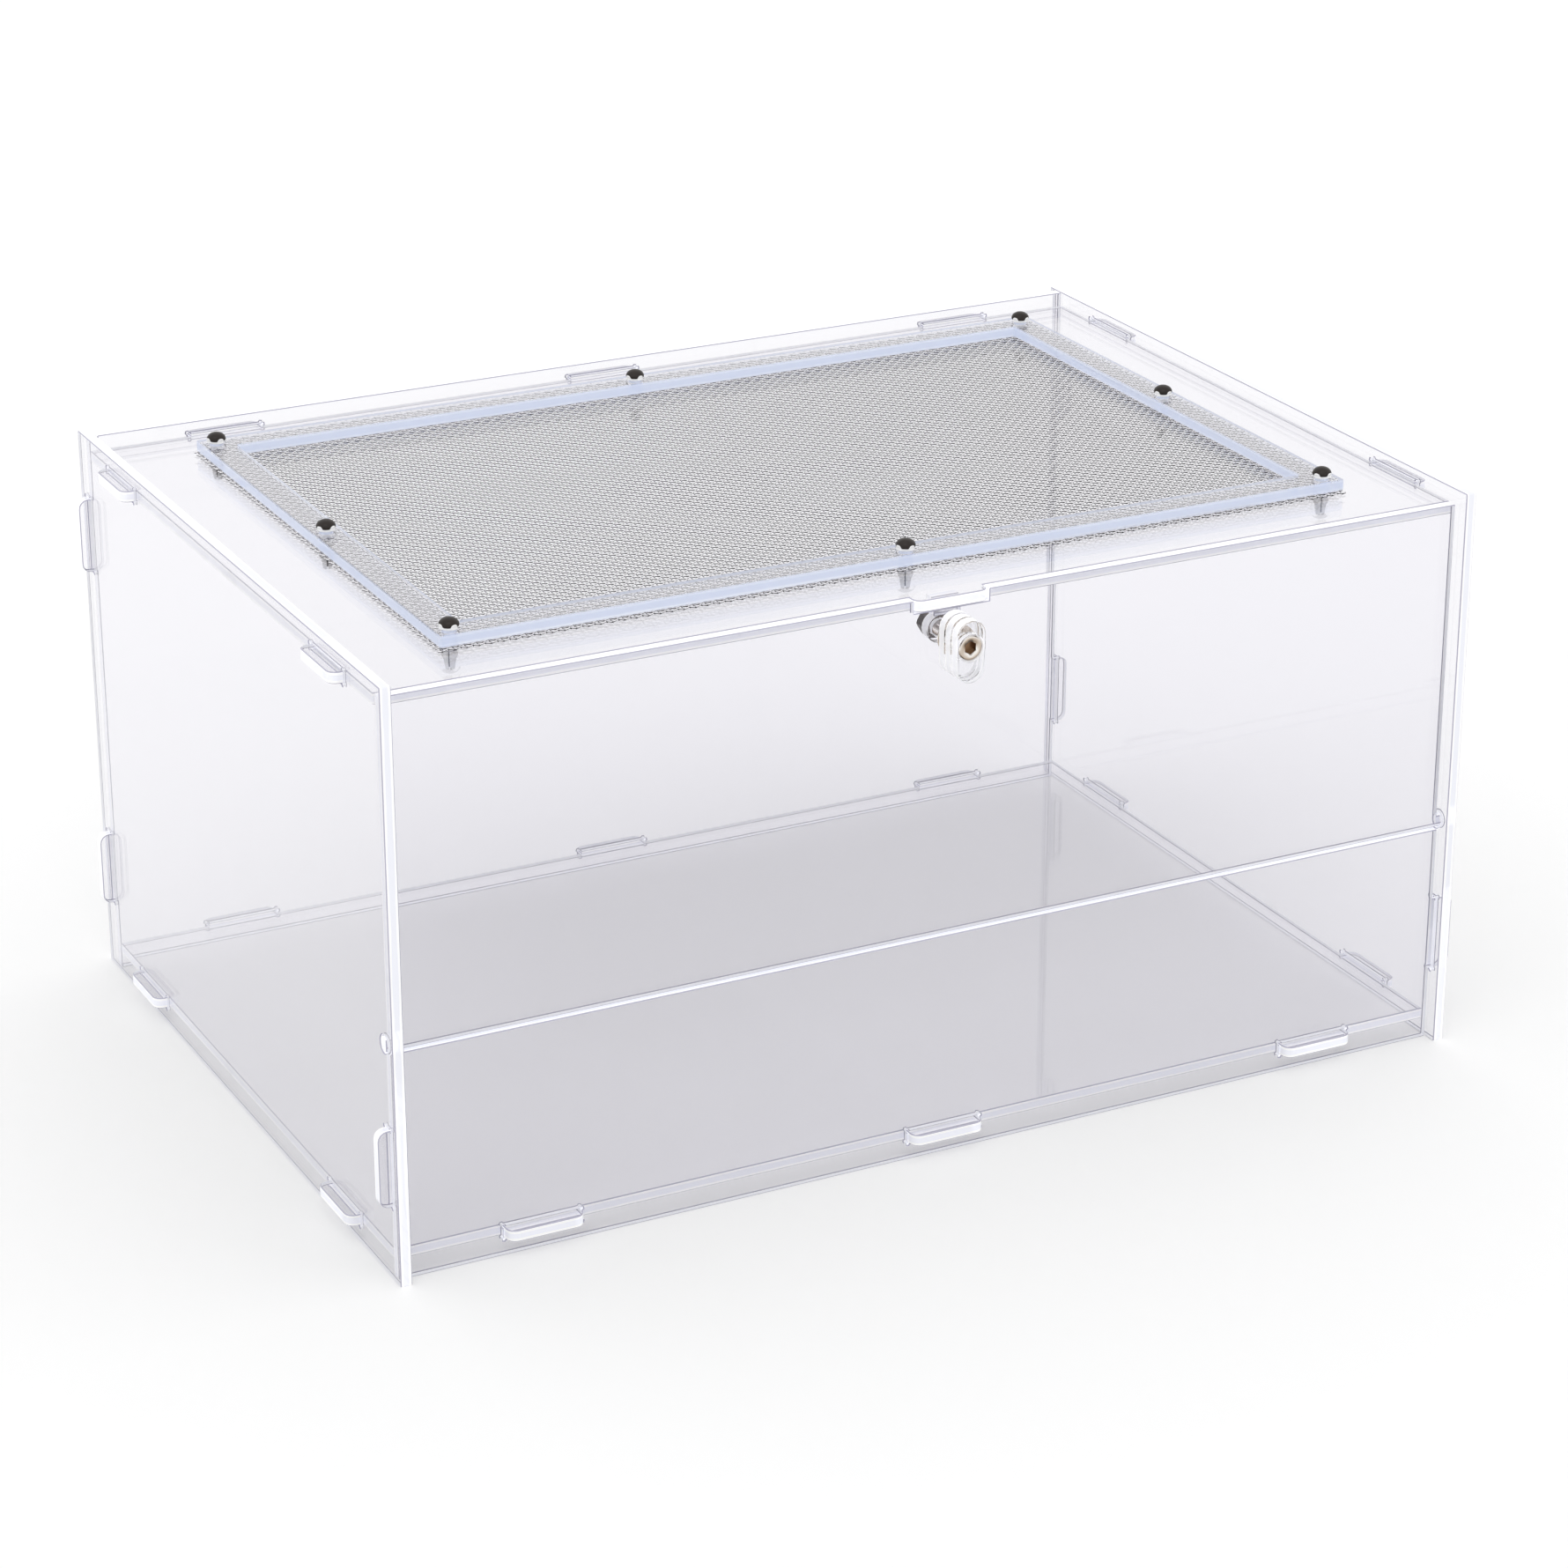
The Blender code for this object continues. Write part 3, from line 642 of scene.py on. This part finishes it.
def rivet_body(turned_by):
    builder = bmesh.new()
    crown = spun(builder, [
        (1.3, flange_low + 0.5),
        (2.4, flange_low + 0.55),
        (FLANGE_RADIUS - 0.25, flange_low + 0.6),
        (FLANGE_RADIUS - 0.1, flange_low + 0.55),
        (FLANGE_RADIUS, flange_low + 0.4),
        (FLANGE_RADIUS, flange_low + 0.15),
        (FLANGE_RADIUS - 0.2, flange_low),
        (2.05, flange_low),
        (2.0, -0.3),
        (1.3, -0.3),
    ], closed=True)
    for corner in corners_of(crown):
        rise = corner.co.z / MM - flange_low
        radius = corner.co.xy.length / MM
        lobe = max(0.0, math.cos(4 * math.atan2(corner.co.y, corner.co.x)) + 0.35) ** 0.5
        if radius > FLANGE_RADIUS - FLANGE_RIM:
            corner.co.xy *= 1 + LOBE_SWELL * lobe
            if rise > FLANGE_RIM:
                corner.co.z += LOBE_RISE * lobe * MM
    leg = [
        (2.0, -0.3),
        (2.5, -0.9),
        (2.65, -1.6),
        (2.5, -2.3),
        (2.05, -2.9),
        (1.5, -6.5),
        (1.1, -6.7),
        (1.1, -2.8),
        (1.3, -0.3),
    ]
    for quarter in range(4):
        part = spun(builder, leg, steps=8, turn=LEG_TURN, closed=True)
        bmesh.ops.rotate(
            builder, verts=corners_of(part),
            matrix=Matrix.Rotation(math.pi / 2 * quarter - LEG_TURN / 2, 3, "Z"),
        )
    bmesh.ops.rotate(builder, verts=builder.verts, matrix=Matrix.Rotation(turned_by, 3, "Z"))
    return builder


def rivet_pin():
    builder = bmesh.new()
    head_low = flange_low + 0.6
    dome = [
        (HEAD_RADIUS * math.cos(turn), head_low + HEAD_BAND + HEAD_DOME * math.sin(turn))
        for turn in (math.pi / 2 * step / DOME_STEPS for step in range(DOME_STEPS))
    ]
    spun(builder, [(0.0, head_low + HEAD_BAND + HEAD_DOME)] + dome[::-1] + [
        (3.2, head_low + 0.1),
        (3.0, head_low),
        (1.05, head_low),
        (0.98, -5.0),
        (0.5, -5.9),
        (0.0, -6.0),
    ])
    return builder


for number, place in enumerate(rivet_places, start=1):
    foot = (place.x, place.y, top_low.z)
    slight_turn = math.radians(18 + 9 * math.sin(5 * number))      # no two were pushed in quite alike
    body = rivet_body(slight_turn)
    set_down(body, foot)
    fit(
        object_from(body, f"rivet_body_{number}", [nylon]), "case", "natural_nylon",
        f"vent_rivet_{number}",
    )
    pin = rivet_pin()
    set_down(pin, foot)
    fit(
        object_from(pin, f"rivet_pin_{number}", [dark_plastic]), "case", "dark_plastic",
        f"vent_rivet_pin_{number}",
    )

# %% [markdown]
# ## Latch
# The knob, cam and washer turn on an M5 cap screw. Its thread is a zigzag spun once while it climbs by
# one pitch, so that the end of each tooth meets the start of the next and the doubles merge.

# %% Screw, washer and nut
screw_low, screw_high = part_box("latch_screw")
nut_low, nut_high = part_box("latch_nut")
washer_low, washer_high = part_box("latch_washer")
FORWARD = Matrix(((1, 0, 0), (0, 0, -1), (0, 1, 0)))     # +Z of a turned shape points to the front
on_axis = Vector((latch_axis.x, 0.0, latch_axis.z))


def threaded(builder, low, high, root, crest, pitch, steps=32):
    """Helical thread from low to high, in millimetres, round Z."""
    teeth = int((high - low) / pitch)
    profile = [(root, low)]
    for tooth in range(teeth):
        start = low + tooth * pitch
        profile += [(crest, start + 0.40 * pitch), (crest, start + 0.55 * pitch), (root, start + pitch)]
    corners = [builder.verts.new((radius * MM, 0, height * MM)) for radius, height in profile]
    edges = [builder.edges.new(pair) for pair in zip(corners, corners[1:])]
    bmesh.ops.spin(
        builder, geom=corners + edges, cent=(0, 0, 0), axis=(0, 0, 1), angle=2 * math.pi, steps=steps,
        dvec=(0, 0, pitch * MM / steps),
    )
    bmesh.ops.remove_doubles(builder, verts=builder.verts, dist=0.005 * MM)


def cap_screw():
    """Heights in millimetres from the seat of the head, head upwards."""
    head = 3.5                  # height of the head
    head_seat = screw_low.y / MM + head
    shank = screw_high.y / MM - head_seat
    builder = bmesh.new()
    threaded(builder, low=-shank + 0.9, high=-6.0, root=2.1, crest=2.5, pitch=0.8)
    rims = [edge for edge in builder.edges if edge.is_boundary]
    bmesh.ops.holes_fill(builder, edges=rims, sides=0)
    bmesh.ops.recalc_face_normals(builder, faces=builder.faces)
    spun(builder, [
        (0.0, -shank),
        (1.7, -shank),
        (2.1, -shank + 0.5),
        (2.1, -shank + 1.5),
        (0.0, -shank + 1.5),
    ])
    socket = 4.0 / math.sqrt(3)             # corner radius of a hexagon 4 mm across its flats
    rim = spun(builder, [
        (socket + 0.25, head - 0.15),
        (3.5, head),
        (3.9, head - 0.1),
        (4.17, head - 0.4),
        (4.25, head - 0.9),
        (4.25, 0.3),
        (4.1, 0.0),
        (2.5, 0.0),
        (2.5, -6.6),
        (0.0, -6.6),
    ], steps=60)
    edge_ring = [edge for edge in builder.edges if edge.is_boundary]
    hexagon = bmesh.ops.create_circle(builder, segments=6, radius=socket * MM, cap_ends=False)["verts"]
    bmesh.ops.translate(builder, verts=hexagon, vec=(0, 0, (head - 0.35) * MM))
    hex_edges = list({edge for corner in hexagon for edge in corner.link_edges})
    bmesh.ops.bridge_loops(builder, edges=edge_ring + hex_edges)
    deep = bmesh.ops.extrude_edge_only(builder, edges=hex_edges)["geom"]
    floor_corners = [item for item in deep if isinstance(item, bmesh.types.BMVert)]
    bmesh.ops.translate(builder, verts=floor_corners, vec=(0, 0, -2.0 * MM))
    floor_edges = [item for item in deep if isinstance(item, bmesh.types.BMEdge)]
    bmesh.ops.holes_fill(builder, edges=floor_edges, sides=6)
    # the walls and floor of the socket take its painted shade and glint
    for corner in floor_corners:
        for polygon in corner.link_faces:
            polygon.material_index = 1
    bmesh.ops.recalc_face_normals(builder, faces=builder.faces)
    set_down(builder, on_axis + Vector((0, head_seat * MM, 0)), FORWARD)
    return builder


screw = object_from(cap_screw(), "cap_screw", [bright_metal, socket_painted_shade], 30)
fit(screw, "latch", "bright_metal", "latch_screw")

washer = bmesh.new()
spun(washer, [
    (2.8, 0.08), (2.9, 0.0), (5.35, 0.0), (5.5, 0.12), (5.5, 0.38), (5.35, 0.5), (2.9, 0.5), (2.8, 0.42),
], closed=True)
set_down(washer, on_axis + Vector((0, washer_high.y, 0)), FORWARD)
fit(object_from(washer, "flat_washer", [bright_metal]), "latch", "bright_metal", "latch_washer")

nut = merged_copy("latch_nut")
fit(object_from(nut, "hexagon_nut", [dark_steel], 25), "latch", "dark_steel", "latch_nut")

# %% Knob and cam
knob_finish = [knob_face, knob_edge, knob_face]
for node in ("latch_knob_front", "latch_knob_middle", "latch_knob_back", "latch_cam"):
    dress_sheet(node, "latch", Y, knob_finish, 0.35 * MM)

# %% [markdown]
# ## Floor, light and camera
# The photograph is a product shot on white. The floor is white card, lit to about 0.8. Rays that show it,
# straight, mirrored or through a clear sheet, get the missing part as Emission, so that it reads as white
# and still takes the soft shadow. The room does the same with its strength. One wide lamp adds a side.

# %% Floor
def shown_by_ray(look):
    """1 for the rays that show what they meet, and 0 for those that only gather light."""
    straight = look.node("ShaderNodeLightPath", out="Is Camera Ray")
    mirrored = look.node("ShaderNodeLightPath", out="Is Glossy Ray")
    passed = look.node("ShaderNodeLightPath", out="Is Transmission Ray")
    return straight.most(mirrored).most(passed)


def white_floor():
    look = Finish("white_card")
    card = look.node("ShaderNodeBsdfDiffuse", {"Color": colour(0.8, 0.8, 0.8)})
    lift = look.node("ShaderNodeEmission", {"Color": colour(1, 1, 1), "Strength": 0.24})
    both = look.node("ShaderNodeAddShader", [card, lift])
    return look.surface(look.node("ShaderNodeMixShader", [shown_by_ray(look), card, both]))


floor_builder = bmesh.new()
bmesh.ops.create_grid(floor_builder, x_segments=1, y_segments=1, size=12.0)
floor = object_from(floor_builder, "white_floor", [white_floor()])

# %% Light
world = bpy.data.worlds.new("soft_room")
bpy.context.scene.world = world
sky = Finish("soft_room", world, "ShaderNodeOutputWorld")
room = sky.node("ShaderNodeBackground", {"Color": colour(1, 1, 1), "Strength": 0.92})
shown_room = sky.node("ShaderNodeBackground", {"Color": colour(1, 1, 1), "Strength": 1.0})
sky.surface(sky.node("ShaderNodeMixShader", [shown_by_ray(sky), room, shown_room]))


def soft_sun(name, strength, spread, lean, turn):
    """A wide lamp far away: lean is from straight down, turn is round the upright axis."""
    lamp = bpy.data.lights.new(name, "SUN")
    lamp.energy = strength
    lamp.angle = math.radians(spread)
    holder = bpy.data.objects.new(name, lamp)
    holder.rotation_euler = (math.radians(lean), 0, math.radians(turn))
    bpy.context.scene.collection.objects.link(holder)


soft_sun("key_light", strength=0.35, spread=35, lean=32, turn=-35)

# %% [markdown]
# ## Camera
# A long lens looks down on the case from its left front. The view was found by laying corners of the case
# over the same corners in the photograph. The fit is loose: the corners that were measured are 3 to 28 of
# the picture's 1780 pixels off, because the upright edges lean together more here than they do there.
# Light crosses many clear layers, so each path may pass and bend often before it is cut off.

# %% Camera and light paths
LENS = 102.4                    # millimetres
SENSOR_WIDTH = 36.0             # millimetres
VIEW_TURN = math.radians(-27.0)
VIEW_RISE = math.radians(22.6)
VIEW_DISTANCE = 1.591
VIEW_TARGET = Vector((0.0082, vent_middle.y, 0.0826))
backwards = Vector((
    math.sin(VIEW_TURN) * math.cos(VIEW_RISE),
    -math.cos(VIEW_TURN) * math.cos(VIEW_RISE),
    math.sin(VIEW_RISE),
))
camera_data = bpy.data.cameras.new("camera")
camera_data.lens = LENS
camera_data.sensor_width = SENSOR_WIDTH
camera = bpy.data.objects.new("camera", camera_data)
camera.location = VIEW_TARGET + backwards * VIEW_DISTANCE
camera.rotation_euler = (-backwards).to_track_quat("-Z", "Y").to_euler()
bpy.context.scene.collection.objects.link(camera)
bpy.context.scene.camera = camera
print("camera at", camera.location)

scene = bpy.context.scene
scene.view_settings.view_transform = "Standard"
scene.cycles.transparent_max_bounces = 48
scene.cycles.max_bounces = 32
scene.cycles.transmission_bounces = 32
scene.cycles.glossy_bounces = 12
